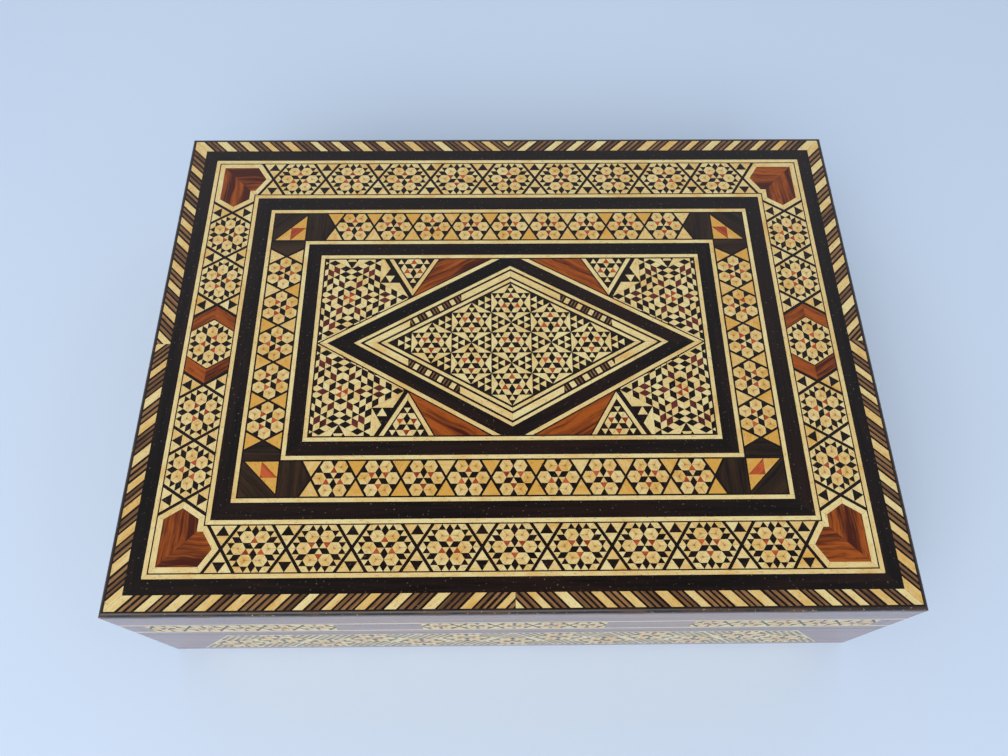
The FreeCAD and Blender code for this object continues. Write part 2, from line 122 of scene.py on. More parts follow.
class Wire:
    """A shader socket that takes part in Python arithmetic. Each operation adds a Math node."""

    def __init__(self, shader: "Shader", socket: bpy.types.NodeSocket) -> None:
        """Wrap a socket of a shader's node."""
        self.shader = shader
        self.socket = socket

    def math(self, operation: str, *values: "Wire | float", clamp: bool = False) -> "Wire":
        """Add a Math node.

        Args:
            operation: the Math node's operation.
            values: its inputs in order.
            clamp: whether the result is held between 0 and 1.

        Returns:
            The node's result.
        """
        settings = {"operation": operation, "use_clamp": clamp}
        return self.shader.node("ShaderNodeMath", settings, dict(enumerate(values)))

    def __add__(self, other: "Wire | float") -> "Wire":
        """Sum of two values."""
        return self.math("ADD", self, other)

    def __sub__(self, other: "Wire | float") -> "Wire":
        """Difference of two values."""
        return self.math("SUBTRACT", self, other)

    def __rsub__(self, other: float) -> "Wire":
        """Difference from a number."""
        return self.math("SUBTRACT", other, self)

    def __mul__(self, other: "Wire | float") -> "Wire":
        """Product of two values."""
        return self.math("MULTIPLY", self, other)

    def __gt__(self, other: "Wire | float") -> "Wire":
        """1 where the value is above another."""
        return self.math("GREATER_THAN", self, other)

    def held(self) -> "Wire":
        """The value held between 0 and 1."""
        return self.math("ADD", self, 0.0, clamp=True)

    def between(self, low: float, high: float) -> "Wire":
        """The value's smooth rise from 0 at low to 1 at high."""
        settings = {"interpolation_type": "SMOOTHSTEP"}
        sockets = {"Value": self, "From Min": low, "From Max": high}
        return self.shader.node("ShaderNodeMapRange", settings, sockets)

    __radd__ = __add__
    __rmul__ = __mul__


class Shader:
    """A material under construction."""

    def __init__(self, name: str) -> None:
        """Start a material with a principled surface."""
        self.material = bpy.data.materials.new(name)
        self.material.use_nodes = True
        self.tree = self.material.node_tree
        self.surface = self.tree.nodes["Principled BSDF"]

    def node(
        self, kind: str, settings: dict | None = None, sockets: dict | None = None, output: int | str = 0
    ) -> Wire:
        """Add a node.

        Args:
            kind: the node's type.
            settings: its own settings, set first.
            sockets: values or wires for its inputs, by name or number.
            output: the output that is wanted.

        Returns:
            The wanted output.
        """
        made = self.tree.nodes.new(kind)
        for key, value in (settings or {}).items():
            setattr(made, key, value)
        for key, value in (sockets or {}).items():
            self.feed(made.inputs[key], value)
        return Wire(self, made.outputs[output])

    def feed(self, socket: bpy.types.NodeSocket, value: "Wire | float | tuple") -> None:
        """Link a wire to a socket, or set the socket's own value."""
        if isinstance(value, Wire):
            self.tree.links.new(value.socket, socket)
        elif socket.type == "RGBA":
            socket.default_value = (*value, 1.0)
        else:
            socket.default_value = value

    def set(self, **sockets: "Wire | float | tuple") -> None:
        """Set the surface's sockets, with their names' spaces written as underscores."""
        for name, value in sockets.items():
            self.feed(self.surface.inputs[name.replace("_", " ")], value)

    def mix(self, factor: "Wire | float", first: "Wire | Colour", second: "Wire | Colour") -> Wire:
        """Mix two colours.

        Args:
            factor: the share of the second.
            first: colour where the factor is 0.
            second: colour where the factor is 1.

        Returns:
            The mixed colour.
        """
        settings = {"data_type": "RGBA", "clamp_factor": True}
        return self.node("ShaderNodeMix", settings, {0: factor, 6: first, 7: second}, 2)

    def noise(self, vector: Wire, scale: float = 1.0, detail: float = 1.0, flat: bool = True) -> Wire:
        """Fractal noise over a vector, or over its first two axes alone where it is flat."""
        settings = {"noise_dimensions": "2D" if flat else "3D"}
        sockets = {"Vector": vector, "Scale": scale, "Detail": detail, "Roughness": 0.6}
        return self.node("ShaderNodeTexNoise", settings, sockets)

    def stretched(self, vector: Wire, scale: tuple[float, float, float]) -> Wire:
        """A vector scaled axis by axis."""
        return self.node("ShaderNodeMapping", None, {"Vector": vector, "Scale": scale})

    def attribute(self, name: str) -> Wire:
        """A number stored on the piece's faces."""
        return self.node("ShaderNodeAttribute", {"attribute_name": name}, None, "Fac")

    def places(self) -> Wire:
        """Object coordinates in millimetres."""
        own = self.node("ShaderNodeTexCoord", None, None, "Object")
        return self.stretched(own, (1 / MM, 1 / MM, 1 / MM))

    def axes(self, vector: Wire) -> list[Wire]:
        """A vector's three parts."""
        parts = self.node("ShaderNodeSeparateXYZ", None, {0: vector}).socket.node.outputs
        return [Wire(self, part) for part in parts]

    def grain(self, source: Grain) -> Wire:
        """A piece's grain in millimetres: along it, across it."""
        if source is Grain.MAP:
            return self.node("ShaderNodeUVMap", {"uv_map": "Grain"})
        return self.grain_on_sides()

    def grain_on_sides(self) -> Wire:
        """Grain that runs level round upright sides and along X on level ones, in millimetres."""
        x, y, z = self.axes(self.places())
        face_x, _, face_z = self.axes(self.node("ShaderNodeTexCoord", None, None, "Normal"))
        on_x = face_x.math("ABSOLUTE", face_x) > 0.7
        on_z = face_z.math("ABSOLUTE", face_z) > 0.7
        along = y * on_x + x * (1 - on_x)
        across = y * on_z + z * (1 - on_z)
        return self.node("ShaderNodeCombineXYZ", None, {0: along + on_x * 700.0, 1: across})

    def waved(self, grain: Wire, amount: float) -> Wire:
        """Grain that wanders sideways on its way, by up to an amount in millimetres."""
        drift = self.noise(self.stretched(grain, (0.1, 0.06, 1.0)), detail=0.0)
        shift = self.node("ShaderNodeCombineXYZ", None, {1: (drift - 0.5) * (2 * amount)})
        return self.node("ShaderNodeVectorMath", {"operation": "ADD"}, {0: grain, 1: shift})

    def bump(self, height: Wire, depth: float) -> None:
        """Raise the surface by a height of 0 to 1 that stands for a depth in metres."""
        sockets = {"Height": height, "Distance": depth, "Strength": 1.0}
        self.set(Normal=self.node("ShaderNodeBump", None, sockets, "Normal"))

    def coat(self, weight: float, shine: float, rough: float = 0.14) -> None:
        """Lacquer the surface, whose own shine shows through."""
        self.set(Coat_Weight=weight, Coat_Roughness=rough, Specular_IOR_Level=shine)


@dataclass(frozen=True)
class Finish:
    """A finish, which dresses a shader of its own name."""

    name: str

    def material(self) -> bpy.types.Material:
        """Build the finish's material."""
        shader = Shader(self.name)
        self.dress(shader)
        return shader.material

    def dress(self, shader: Shader) -> None:
        """Set the surface's sockets."""
        raise NotImplementedError


@dataclass(frozen=True)
class WoodFinish(Finish):
    """Lacquered wood with fibres, slow figure and pores that follow its grain."""

    dark: Colour
    light: Colour
    pore: Colour
    grain: Grain = Grain.MAP
    contrast: float = 1.0
    fibre_pitch: float = 0.9
    lacquer: float = 0.3
    specks: float = 0.0
    wave: float = 0.0

    def dress(self, shader: Shader) -> None:
        """Dress the wood."""
        vector = shader.grain(self.grain)
        if self.wave:
            vector = shader.waved(vector, self.wave)
        fibres = shader.noise(shader.stretched(vector, (0.05, 1 / self.fibre_pitch, 1.0)), detail=3.0)
        figure = shader.noise(shader.stretched(vector, (0.016, 0.22, 1.0)))
        pores = shader.noise(shader.stretched(vector, (0.22, 3.4, 1.0))).between(0.62, 0.74)
        share = (fibres - 0.5) * (1.5 * self.contrast) + (figure - 0.5) * (1.8 * self.contrast) + 0.5
        if self.grain is Grain.MAP:
            share = share + (shader.attribute("tone") - 0.5) * 0.45
        colour = shader.mix(share.held(), self.dark, self.light)
        colour = shader.mix(pores * 0.6, colour, self.pore)
        rough = 0.3 + fibres * 0.16
        if self.specks:
            dust = shader.noise(shader.places(), 1.1).between(0.75, 0.79)
            colour = shader.mix(dust * self.specks, colour, tint(150, 132, 110))
            rough = rough + dust * 0.3
        shader.set(Base_Color=colour, Roughness=rough.held())
        shader.coat(self.lacquer, 0.22)
        shader.bump(fibres, 0.02 * MM)


@dataclass(frozen=True)
class BoneFinish(Finish):
    """Polished bone with fine dark flecks along it, from pale to stained amber."""

    pale: Colour
    amber: Colour
    fleck: Colour
    grain: Grain = Grain.MAP
    lacquer: float = 0.3
    stain: float = 0.12

    def dress(self, shader: Shader) -> None:
        """Dress the bone."""
        vector = shader.grain(self.grain)
        clouds = shader.noise(shader.stretched(vector, (0.12, 0.5, 1.0)), detail=2.0)
        flecks = shader.noise(shader.stretched(vector, (0.5, 3.2, 1.0))).between(0.63, 0.76)
        patches = shader.noise(shader.places(), 0.09).between(0.5, 0.8)
        share = (clouds - 0.5) * 0.9 + patches * 0.3 + self.stain
        if self.grain is Grain.MAP:
            share = share + shader.attribute("stain") + (shader.attribute("tone") - 0.5) * 0.3
            grime = shader.attribute("grime")
            share = share + grime * 0.4
            flecks = (flecks + grime.between(0.68, 0.98) * 1.4).held()
        colour = shader.mix(share.held(), self.pale, self.amber)
        colour = shader.mix(flecks * 0.55, colour, self.fleck)
        shader.set(Base_Color=colour, Roughness=(0.28 + clouds * 0.16).held())
        shader.coat(self.lacquer, 0.35)
        shader.bump(clouds, 0.015 * MM)


@dataclass(frozen=True)
class GlueFinish(Finish):
    """Dark glue and sawdust in the seams."""

    dark: Colour
    light: Colour

    def dress(self, shader: Shader) -> None:
        """Dress the glue."""
        grit = shader.noise(shader.places(), 2.2, flat=False)
        shader.set(Base_Color=shader.mix(grit, self.dark, self.light), Roughness=0.35 + grit * 0.25)
        shader.coat(0.25, 0.3)
        shader.bump(grit, 0.02 * MM)


@dataclass(frozen=True)
class WornEdgeFinish(Finish):
    """Dark edge banding, rubbed brown along its arris and chipped to pale specks."""

    dark: Colour
    worn: Colour
    chip: Colour
    wear_low: float = 72.6
    wear_high: float = 74.7

    def dress(self, shader: Shader) -> None:
        """Dress the edge."""
        places = shader.places()
        grain = shader.grain_on_sides()
        level = shader.axes(places)[2]
        fibres = shader.noise(shader.stretched(grain, (0.06, 1.3, 1.0)), detail=3.0)
        rubbed = shader.noise(places, 0.07, 3.0, flat=False).between(0.42, 0.66)
        arris = level.between(self.wear_low, self.wear_high) * (1 - level.between(self.wear_high, 75.0))
        chips = shader.noise(places, 0.95, 2.0, flat=False).between(0.64, 0.7) * arris
        colour = shader.mix(fibres * 0.22, self.dark, self.worn)
        colour = shader.mix((rubbed * arris * (0.35 + fibres * 0.8)).held(), colour, self.worn)
        colour = shader.mix(chips * 0.75, colour, self.chip)
        shader.set(Base_Color=colour, Roughness=(0.3 + rubbed * 0.2 + chips * 0.3).held())
        shader.coat(0.25, 0.3, 0.16)
        shader.bump(fibres * 0.5 - chips, 0.06 * MM)


@dataclass(frozen=True)
class VelvetFinish(Finish):
    """Short-piled velvet, brushed lighter and darker in patches."""

    deep: Colour
    lit: Colour

    def dress(self, shader: Shader) -> None:
        """Dress the velvet."""
        places = shader.places()
        pile = shader.noise(places, 3.2, flat=False)
        brushed = shader.noise(shader.stretched(places, (0.05, 0.11, 0.09)), detail=2.0, flat=False)
        share = ((brushed - 0.5) * 0.8 + (pile - 0.5) * 0.9 + 0.4).held()
        shader.set(Base_Color=shader.mix(share, self.deep, self.lit), Roughness=0.82 + pile * 0.15)
        shader.set(Sheen_Weight=0.6, Sheen_Roughness=0.35, Sheen_Tint=self.lit, Specular_IOR_Level=0.2)
        shader.bump(pile, 0.12 * MM)


@dataclass(frozen=True)
class BrassFinish(Finish):
    """Drawn brass, tarnished in patches and scratched along its length."""

    bright: Colour
    tarnished: Colour

    def dress(self, shader: Shader) -> None:
        """Dress the brass."""
        places = shader.places()
        scratches = shader.noise(shader.stretched(places, (0.25, 6.0, 6.0)), detail=2.0, flat=False)
        patches = shader.noise(places, 0.35, 3.0, flat=False).between(0.42, 0.7)
        share = (patches * 0.75 + (scratches - 0.5) * 0.5).held()
        shader.set(Base_Color=shader.mix(share, self.bright, self.tarnished), Metallic=1.0)
        shader.set(Roughness=(0.24 + patches * 0.22 + scratches * 0.1).held())
        shader.bump(scratches, 0.01 * MM)


@dataclass(frozen=True)
class FloorFinish(Finish):
    """Matt painted board under the box."""

    colour: Colour
    shade: Colour

    def dress(self, shader: Shader) -> None:
        """Dress the floor."""
        drift = shader.noise(shader.places(), 0.004, 2.0)
        grit = shader.noise(shader.places(), 0.9)
        shader.set(Base_Color=shader.mix(drift * 0.5 + grit * 0.1, self.colour, self.shade))
        shader.set(Roughness=0.6 + grit * 0.15, Specular_IOR_Level=0.3)


BLACK_GLUE = tint(11, 7, 5)
BONE_TINTS = (tint(226, 206, 146), tint(208, 154, 66), tint(112, 74, 38))
EBONY_TINTS = (tint(12, 5, 2), tint(32, 15, 8), BLACK_GLUE)
ROSEWOOD_TINTS = (tint(68, 22, 4), tint(158, 76, 18), tint(42, 13, 4))
SIDE_TINTS = (tint(74, 34, 20), tint(132, 74, 46), tint(44, 20, 12))
CARCASS_TINTS = (tint(118, 84, 52), tint(176, 138, 94), tint(86, 58, 34))
SIDE_WOOD = WoodFinish("side_veneer_wood", *SIDE_TINTS, Grain.SIDES, contrast=0.9, lacquer=0.85)
INLAY_FINISHES = {
    Inlay.BONE: BoneFinish("inlay_bone", *BONE_TINTS),
    Inlay.EBONY: WoodFinish("ebony", *EBONY_TINTS, specks=0.3),
    Inlay.ROSEWOOD: WoodFinish("rosewood", *ROSEWOOD_TINTS, contrast=1.4, fibre_pitch=1.0, wave=0.9),
    Inlay.WALNUT: WoodFinish("walnut", tint(23, 13, 6), tint(58, 38, 21), tint(13, 8, 5)),
    Inlay.RED: WoodFinish("red_stained_wood", tint(134, 44, 20), tint(190, 86, 44), tint(96, 30, 16)),
    Inlay.MAROON: WoodFinish("maroon_stained_wood", tint(58, 20, 15), tint(112, 46, 36), tint(40, 14, 12)),
    Inlay.BROWN: WoodFinish("brown_stripe_wood", tint(84, 54, 32), tint(150, 108, 66), tint(46, 30, 20)),
    Inlay.GLUE: GlueFinish("seam_glue", BLACK_GLUE, tint(32, 20, 13)),
    Inlay.VENEER: SIDE_WOOD,
}
GROUND = WoodFinish("dark_ground", *EBONY_TINTS, Grain.SIDES)
CARCASS = WoodFinish("carcass_wood", *CARCASS_TINTS, Grain.SIDES, contrast=0.8, fibre_pitch=1.4, lacquer=0.1)
SIDE_BONE = BoneFinish("side_bone", *BONE_TINTS, Grain.SIDES, lacquer=0.85)
EDGE = WornEdgeFinish("worn_edge_wood", tint(12, 7, 5), tint(92, 58, 30), tint(196, 172, 130))
VELVET = VelvetFinish("red_velvet", tint(70, 8, 16), tint(146, 28, 40))
BRASS = BrassFinish("hinge_brass", tint(222, 180, 98), tint(120, 88, 46))
FLOOR = FloorFinish("pale_floor", tint(206, 219, 236), tint(198, 212, 231))


class Palette:
    """Builds each finish once and hands its material out."""

    def __init__(self) -> None:
        """Start with no material built."""
        self._made: dict[str, bpy.types.Material] = {}

    def __getitem__(self, finish: Finish) -> bpy.types.Material:
        """The material of a finish."""
        if finish.name not in self._made:
            self._made[finish.name] = finish.material()
        return self._made[finish.name]


PALETTE = Palette()


@dataclass(frozen=True)
class Piece:
    """One piece of a star pattern and the lattice cells that it covers in one sector.

    A cell is written as its mark and its steps along the sector's two edges, the larger first. The mark ^
    is a cell with its point towards the star's centre, v one with its base towards it. What is written for
    one half of a sector holds for the other half as well. Shaded pieces round the same border look alike.
    """

    kind: Inlay
    cells: str
    sectors: Sectors = Sectors.EVERY
    straddles: bool = False
    shaded: bool = False

    @property
    def symmetric(self) -> bool:
        """Whether the piece lies on the middle line of its sector."""
        return any(cell[1] == cell[2] for cell in self.cells.split())


@dataclass(frozen=True)
class Wedge:
    """A triangle outside a star, by its corners along and across the line to a star's inner corner."""

    kind: Inlay
    corners: tuple[tuple[float, float], ...]


@dataclass(frozen=True)
class Pattern:
    """A six-pointed pattern on the lattice of equal triangles."""

    rows: int
    pieces: tuple[Piece, ...]
    wedges: tuple[Wedge, ...] = ()

    def find(self, place: Vector, turned: bool) -> tuple[int, int, bool] | None:
        """Find the piece that covers a place.

        Args:
            place: a point on the lattice, in lattice steps from the centre.
            turned: whether the pattern is turned by a sixth.

        Returns:
            The piece's number, its sector or border, and its half; nothing where the pattern is empty.
        """
        angle = (math.atan2(place.y, place.x) - math.pi / 2) % math.tau
        sector = int(angle // SIXTH)
        turn = angle - sector * SIXTH
        v = place.length * math.sin(turn) / SIN60
        u = place.length * math.cos(turn) - v / 2
        mark = "^" if u % 1 + v % 1 < 1 else "v"
        mirrored = int(v) > int(u)
        cell = f"{mark}{max(int(u), int(v))}{min(int(u), int(v))}"
        for number, piece in enumerate(self.pieces):
            if cell in piece.cells.split() and piece.sectors.hold(sector + turned):
                if piece.straddles:
                    return number, (sector + mirrored) % 6, False
                return number, sector, mirrored and not piece.symmetric
        return None


CENTRE = (
    Piece(Inlay.EBONY, "^00 v00", Sectors.EVEN),
    Piece(Inlay.BONE, "^00", Sectors.ODD),
    Piece(Inlay.RED, "v00", Sectors.ODD),
)
BONE_HEXAGONS = (
    Piece(Inlay.BONE, "^20 v10", shaded=True),
    Piece(Inlay.BONE, "^10", straddles=True, shaded=True),
)
OUTER_RIM = (
    Piece(Inlay.EBONY, "^11 v11"),
    Piece(Inlay.EBONY, "v20"),
    Piece(Inlay.BONE, "^30"),
    Piece(Inlay.BONE, "^21"),
)
STAR_HEART = CENTRE + (Piece(Inlay.BONE, "^10"),)


def star_points(sectors: Sectors) -> tuple[Piece, ...]:
    """Points of a small star: three dark triangles round a bone one."""
    dark = (Piece(Inlay.EBONY, "v10", sectors), Piece(Inlay.EBONY, "v11", sectors))
    return dark + (Piece(Inlay.BONE, "^11", sectors),)


def corner_wedges(steps: float) -> tuple[Wedge, ...]:
    """Two bone wedges beside a dark triangle that holds a bone one, at a big star's inner corner."""
    far, tip = 1.5 * steps, steps * SIN60
    foot = tip / 3
    middle, half = (steps + far) / 2, foot / 2
    return (
        Wedge(Inlay.BONE, ((steps, 0), (far, tip), (far, foot))),
        Wedge(Inlay.BONE, ((steps, 0), (far, -foot), (far, -tip))),
        Wedge(Inlay.EBONY, ((steps, 0), (middle, half), (middle, -half))),
        Wedge(Inlay.EBONY, ((middle, half), (far, foot), (far, 0))),
        Wedge(Inlay.EBONY, ((middle, -half), (far, 0), (far, -foot))),
        Wedge(Inlay.BONE, ((middle, half), (far, 0), (middle, -half))),
    )


OUTER_STAR = Pattern(4, CENTRE + BONE_HEXAGONS + OUTER_RIM)
INNER_STAR = Pattern(3, CENTRE + BONE_HEXAGONS + (Piece(Inlay.EBONY, "^11"),))
DIAMOND_STAR = Pattern(
    4,
    STAR_HEART + star_points(Sectors.EVERY),
    (Wedge(Inlay.BONE, ((2, 0), (3, 2 * SIN60), (3, -2 * SIN60))),),
)
TRIANGLE_STAR = Pattern(4, STAR_HEART + star_points(Sectors.EVEN))
BASE_STAR = Pattern(
    8,
    OUTER_STAR.pieces
    + (
        Piece(Inlay.EBONY, "v30 v21 v22 v31 v32 v33", Sectors.EVEN),
        Piece(Inlay.BONE, "^22 ^31 ^32 ^33", Sectors.EVEN),
    ),
)
CORNER_STAR = Pattern(
    10,
    (
        Piece(Inlay.RED, "^00", Sectors.EVEN),
        Piece(Inlay.BONE, "^00", Sectors.ODD),
        Piece(Inlay.BONE, "v00"),
        Piece(Inlay.EBONY, "^10", straddles=True),
        Piece(Inlay.BONE, "v10 ^20"),
        Piece(Inlay.MAROON, "^11 v11"),
        Piece(Inlay.EBONY, "v20"),
        Piece(Inlay.BONE, "^30", straddles=True),
        Piece(Inlay.EBONY, "v30 ^31"),
        Piece(Inlay.BONE, "^21 v21"),
        Piece(Inlay.BONE, "^40", straddles=True),
        Piece(Inlay.EBONY, "v40 ^41"),
        Piece(Inlay.BONE, "v31"),
        Piece(Inlay.EBONY, "^22"),
        Piece(Inlay.BONE, "v22"),
        Piece(Inlay.MAROON, "^32 v32"),
        Piece(Inlay.BONE, "v41 ^42"),
        Piece(Inlay.EBONY, "v42 ^43"),
        Piece(Inlay.BONE, "^33 v33"),
        Piece(Inlay.BONE, "v43"),
        Piece(Inlay.EBONY, "^44 v44"),
    ),
    corner_wedges(5),
)


@dataclass
class Outline:
    """A flat face of a solid: its corners, counter-clockwise as seen from outside, and its normal."""

    corners: list[Vector]
    normal: Vector

    @property
    def centre(self) -> Vector:
        """Middle of the corners."""
        return sum(self.corners, Vector()) / len(self.corners)

    @property
    def along(self) -> Vector:
        """Direction of the longest edge."""
        return max((b - a for a, b in self.edges()), key=lambda edge: edge.length).normalized()

    def edges(self) -> Iterator[tuple[Vector, Vector]]:
        """Each edge's start and end."""
        return zip(self.corners, self.corners[1:] + self.corners[:1])

    def span(self, axis: Vector) -> tuple[float, float]:
        """Where the outline starts and ends along an axis."""
        places = [corner.dot(axis) for corner in self.corners]
        return min(places), max(places)

    def lowered(self) -> "Outline":
        """The outline of a ground just below this face."""
        sunk = [corner - self.normal * GROUND_DEPTH for corner in self.corners]
        return Outline(sunk, self.normal)


def outlines(node: str, *facings: Vector) -> list[Outline]:
    """Read the outlines of a CAD node's flat faces.

    Args:
        node: the node's name.
        facings: the directions that wanted faces look in.

    Returns:
        One outline for each flat face, without needless corners, in the order of their places.
    """
    bm = bmesh.new()
    bm.from_mesh(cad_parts[node].data)
    bmesh.ops.remove_doubles(bm, verts=bm.verts[:], dist=WELD_REACH)
    bmesh.ops.dissolve_limit(bm, angle_limit=FLAT_ANGLE, verts=bm.verts, edges=bm.edges)
    found = []
    for face in bm.faces:
        if any(face.normal.dot(facing) > SAME_WAY for facing in facings):
            bent = [corner for corner in face.loops if abs(corner.calc_angle() - math.pi) > BEND_ANGLE]
            found.append(Outline([corner.vert.co.copy() for corner in bent], face.normal.copy()))
    bm.free()
    return sorted(found, key=lambda outline: tuple(round(c, 5) for c in outline.centre))


def outermost(found: list[Outline]) -> list[Outline]:
    """Those outlines that lie farthest out of all that look the same way."""
    reach: dict[tuple, float] = defaultdict(lambda: -math.inf)
    places = [(o, tuple(round(c) for c in o.normal), o.centre.dot(o.normal)) for o in found]
    for _, way, level in places:
        reach[way] = max(reach[way], level)
    return [outline for outline, way, level in places if level > reach[way] - SAME_LEVEL]


def laid_lattice(centre: Vector, first: Vector, second: Vector, normal: Vector) -> Matrix:
    """Where a lattice lies.

    Args:
        centre: the star's centre.
        first: one lattice step along a border of the pattern.
        second: one lattice step along the next border.
        normal: the face's normal.

    Returns:
        The matrix that carries lattice steps into metres.
    """
    matrix = Matrix(((first * 0.5 - second) / SIN60, first, normal)).transposed().to_4x4()
    matrix.translation = centre
    return matrix


def make_object(bm: BMesh, name: str, *materials: bpy.types.Material) -> bpy.types.Object:
    """Turn a bmesh into an object in the scene. The bmesh is used up."""
    mesh = bpy.data.meshes.new(name)
    bm.to_mesh(mesh)
    bm.free()
    for material in materials:
        mesh.materials.append(material)
    made = bpy.data.objects.new(name, mesh)
    bpy.context.scene.collection.objects.link(made)
    return made


def join(bm: BMesh, part: BMesh) -> None:
    """Add a part to a bmesh. The part is used up."""
    mesh = bpy.data.meshes.new("part")
    part.to_mesh(mesh)
    part.free()
    bm.from_mesh(mesh)
    bpy.data.meshes.remove(mesh)


def slice_bmesh(bm: BMesh, point: Vector, across: Vector, trim: bool = False) -> None:
    """Cut a bmesh along a plane, and clear what lies beyond it where it is trimmed."""
    geometry = bm.verts[:] + bm.edges[:] + bm.faces[:]
    bmesh.ops.bisect_plane(
        bm, geom=geometry, dist=CUT_REACH, plane_co=point, plane_no=across, clear_outer=trim
    )


@dataclass
class Slab:
    """The flat pieces of one marquetry node, gathered in one mesh."""

    node: str
    stain: float = 0.0
    spread: float = 0.4
    run: Run = Run.LONGEST
    seam: float = 0.028 * MM
    tiles: list[Outline] = field(default_factory=list)

    def __post_init__(self) -> None:
        """Start an empty mesh with the layers that the finishes read, and the OFBake map."""
        self.bm = bmesh.new()
        self.rng = random.Random(self.node)
        self._add_layers(self.bm)

    @staticmethod
    def _add_layers(bm: BMesh) -> None:
        """Add a mesh's layers."""
        for name in ("Grain", "OFBake"):
            bm.loops.layers.uv.new(name)
        for name in ("tone", "stain"):
            bm.faces.layers.float.new(name)
        for name in ("kind", "tile", "group"):
            bm.faces.layers.int.new(name)
        bm.loops.layers.float.new("grime")

    def new_tile(self) -> BMesh:
        """An empty mesh for one tile, with the slab's layers."""
        bm = bmesh.new()
        self._add_layers(bm)
        return bm

    def add(self, bm: BMesh, outline: Outline) -> None:
        """Take in a tile: each face becomes a piece with its own grain, tone and glue seam.

        Args:
            bm: the tile's mesh in place, its faces marked with their kinds. It is used up.
            outline: the outline that the tile fills.
        """
        wrong = [face for face in bm.faces if face.normal.dot(outline.normal) < 0]
        bmesh.ops.reverse_faces(bm, faces=wrong)
        pieces = bm.faces[:]
        shades = [(self.rng.random(), self.rng.uniform(1 - self.spread, 1 + self.spread)) for _ in range(6)]
        for face in pieces:
            group = face[bm.faces.layers.int["group"]]
            self._mark(bm, face, shades[group - 1] if group else None)
        bmesh.ops.inset_individual(
            bm, faces=pieces, thickness=self.seam, use_even_offset=True, use_interpolate=True
        )
        kept = set(pieces)
        kind, tile = bm.faces.layers.int["kind"], bm.faces.layers.int["tile"]
        for face in bm.faces:
            face[tile] = len(self.tiles)
            if face not in kept:
                face[kind] = Inlay.GLUE.value
        self.tiles.append(outline)
        join(self.bm, bm)

    def _mark(self, bm: BMesh, face: BMFace, shade: tuple[float, float] | None) -> None:
        """Give a piece its grain along one of its longest edges, and its tone and stain.

        Args:
            bm: the tile's mesh.
            face: the piece.
            shade: tone and stain where the piece shares them with its neighbours.
        """
        edges = self.run.pick([(corner.link_loop_next.vert.co - corner.vert.co) for corner in face.loops])
        longest = max(edge.length for edge in edges)
        along = self.rng.choice([edge for edge in edges if edge.length > 0.95 * longest]).normalized()
        across = face.normal.cross(along)
        shift = Vector((self.rng.uniform(0, 400), self.rng.uniform(0, 400)))
        start = face.calc_center_median()
        grain = bm.loops.layers.uv["Grain"]
        for corner in face.loops:
            step = (corner.vert.co - start) / MM
            corner[grain].uv = Vector((step.dot(along), step.dot(across))) + shift
        tone, spread = self.rng.random(), self.rng.uniform(1 - self.spread, 1 + self.spread)
        if shade:
            tone, spread = 0.75 * shade[0] + 0.25 * tone, shade[1]
        face[bm.faces.layers.float["tone"]] = tone
        face[bm.faces.layers.float["stain"]] = self.stain * spread

    def _map_for_bake(self) -> None:
        """Lay the tiles out in rows, the highest first, on the OFBake map."""
        spots, margin = [], Vector((MAP_MARGIN, MAP_MARGIN))
        for outline in self.tiles:
            along = outline.along
            across = outline.normal.cross(along)
            low, high = (Vector(ends) for ends in zip(outline.span(along), outline.span(across)))
            spots.append((along, across, low, high - low + 2 * margin))
        area = sum(size.x * size.y for *_, size in spots)
        widest = max(size.x for *_, size in spots)
        sheets = [max(widest, math.sqrt(area) * share) for share in (1.0, 1.08, 1.16, 1.3)]
        rows = [self._rows([size for *_, size in spots], sheet) for sheet in sheets]
        edge, places = min(rows, key=lambda row: row[0])
        baked, tile = self.bm.loops.layers.uv["OFBake"], self.bm.faces.layers.int["tile"]
        for face in self.bm.faces:
            along, across, low, _ = spots[face[tile]]
            for corner in face.loops:
                place = Vector((corner.vert.co.dot(along), corner.vert.co.dot(across))) - low
                corner[baked].uv = (place + places[face[tile]] + margin) / edge

    @staticmethod
    def _rows(sizes: list[Vector], sheet: float) -> tuple[float, dict[int, Vector]]:
        """Lay boxes out in rows.

        Args:
            sizes: each box's width and height.
            sheet: how wide a row may be.

        Returns:
            The side of the square that holds the rows, and each box's place.
        """
        places, start, level, high = {}, 0.0, 0.0, 0.0
        for number in sorted(range(len(sizes)), key=lambda n: -sizes[n].y):
            if start + sizes[number].x > sheet + 1e-9:
                start, level, high = 0.0, level + high, 0.0
            places[number] = Vector((start, level))
            start += sizes[number].x
            high = max(high, sizes[number].y)
        return max(sheet, level + high), places

    def finish(self, body: str, slot: str) -> bpy.types.Object:
        """Turn the slab into a piece that stands for its node.

        Args:
            body: the CAD body that it moves with.
            slot: the record's material slot; not used.

        Returns:
            The piece.
        """
        self._map_for_bake()
        kind = self.bm.faces.layers.int["kind"]
        used = sorted({face[kind] for face in self.bm.faces})
        for face in self.bm.faces:
            face.material_index = used.index(face[kind])
        count = len(self.bm.faces)
        materials = [PALETTE[INLAY_FINISHES[Inlay(value)]] for value in used]
        piece = make_object(self.bm, f"{self.node}_inlay", *materials)
        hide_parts(self.node)
        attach(piece, body)
        log.info("%s: %d faces", piece.name, count)
        return piece


def fill_outline(bm: BMesh, outline: Outline, kind: Inlay) -> None:
    """Lay one piece as large as an outline."""
    face = bm.faces.new([bm.verts.new(corner) for corner in outline.corners])
    face.normal_update()
    face[bm.faces.layers.int["kind"]] = kind.value


def lay_plain(slab: Slab, outline: Outline, kind: Inlay) -> None:
    """Lay one piece as large as an outline as a tile of its own."""
    bm = slab.new_tile()
    fill_outline(bm, outline, kind)
    slab.add(bm, outline)


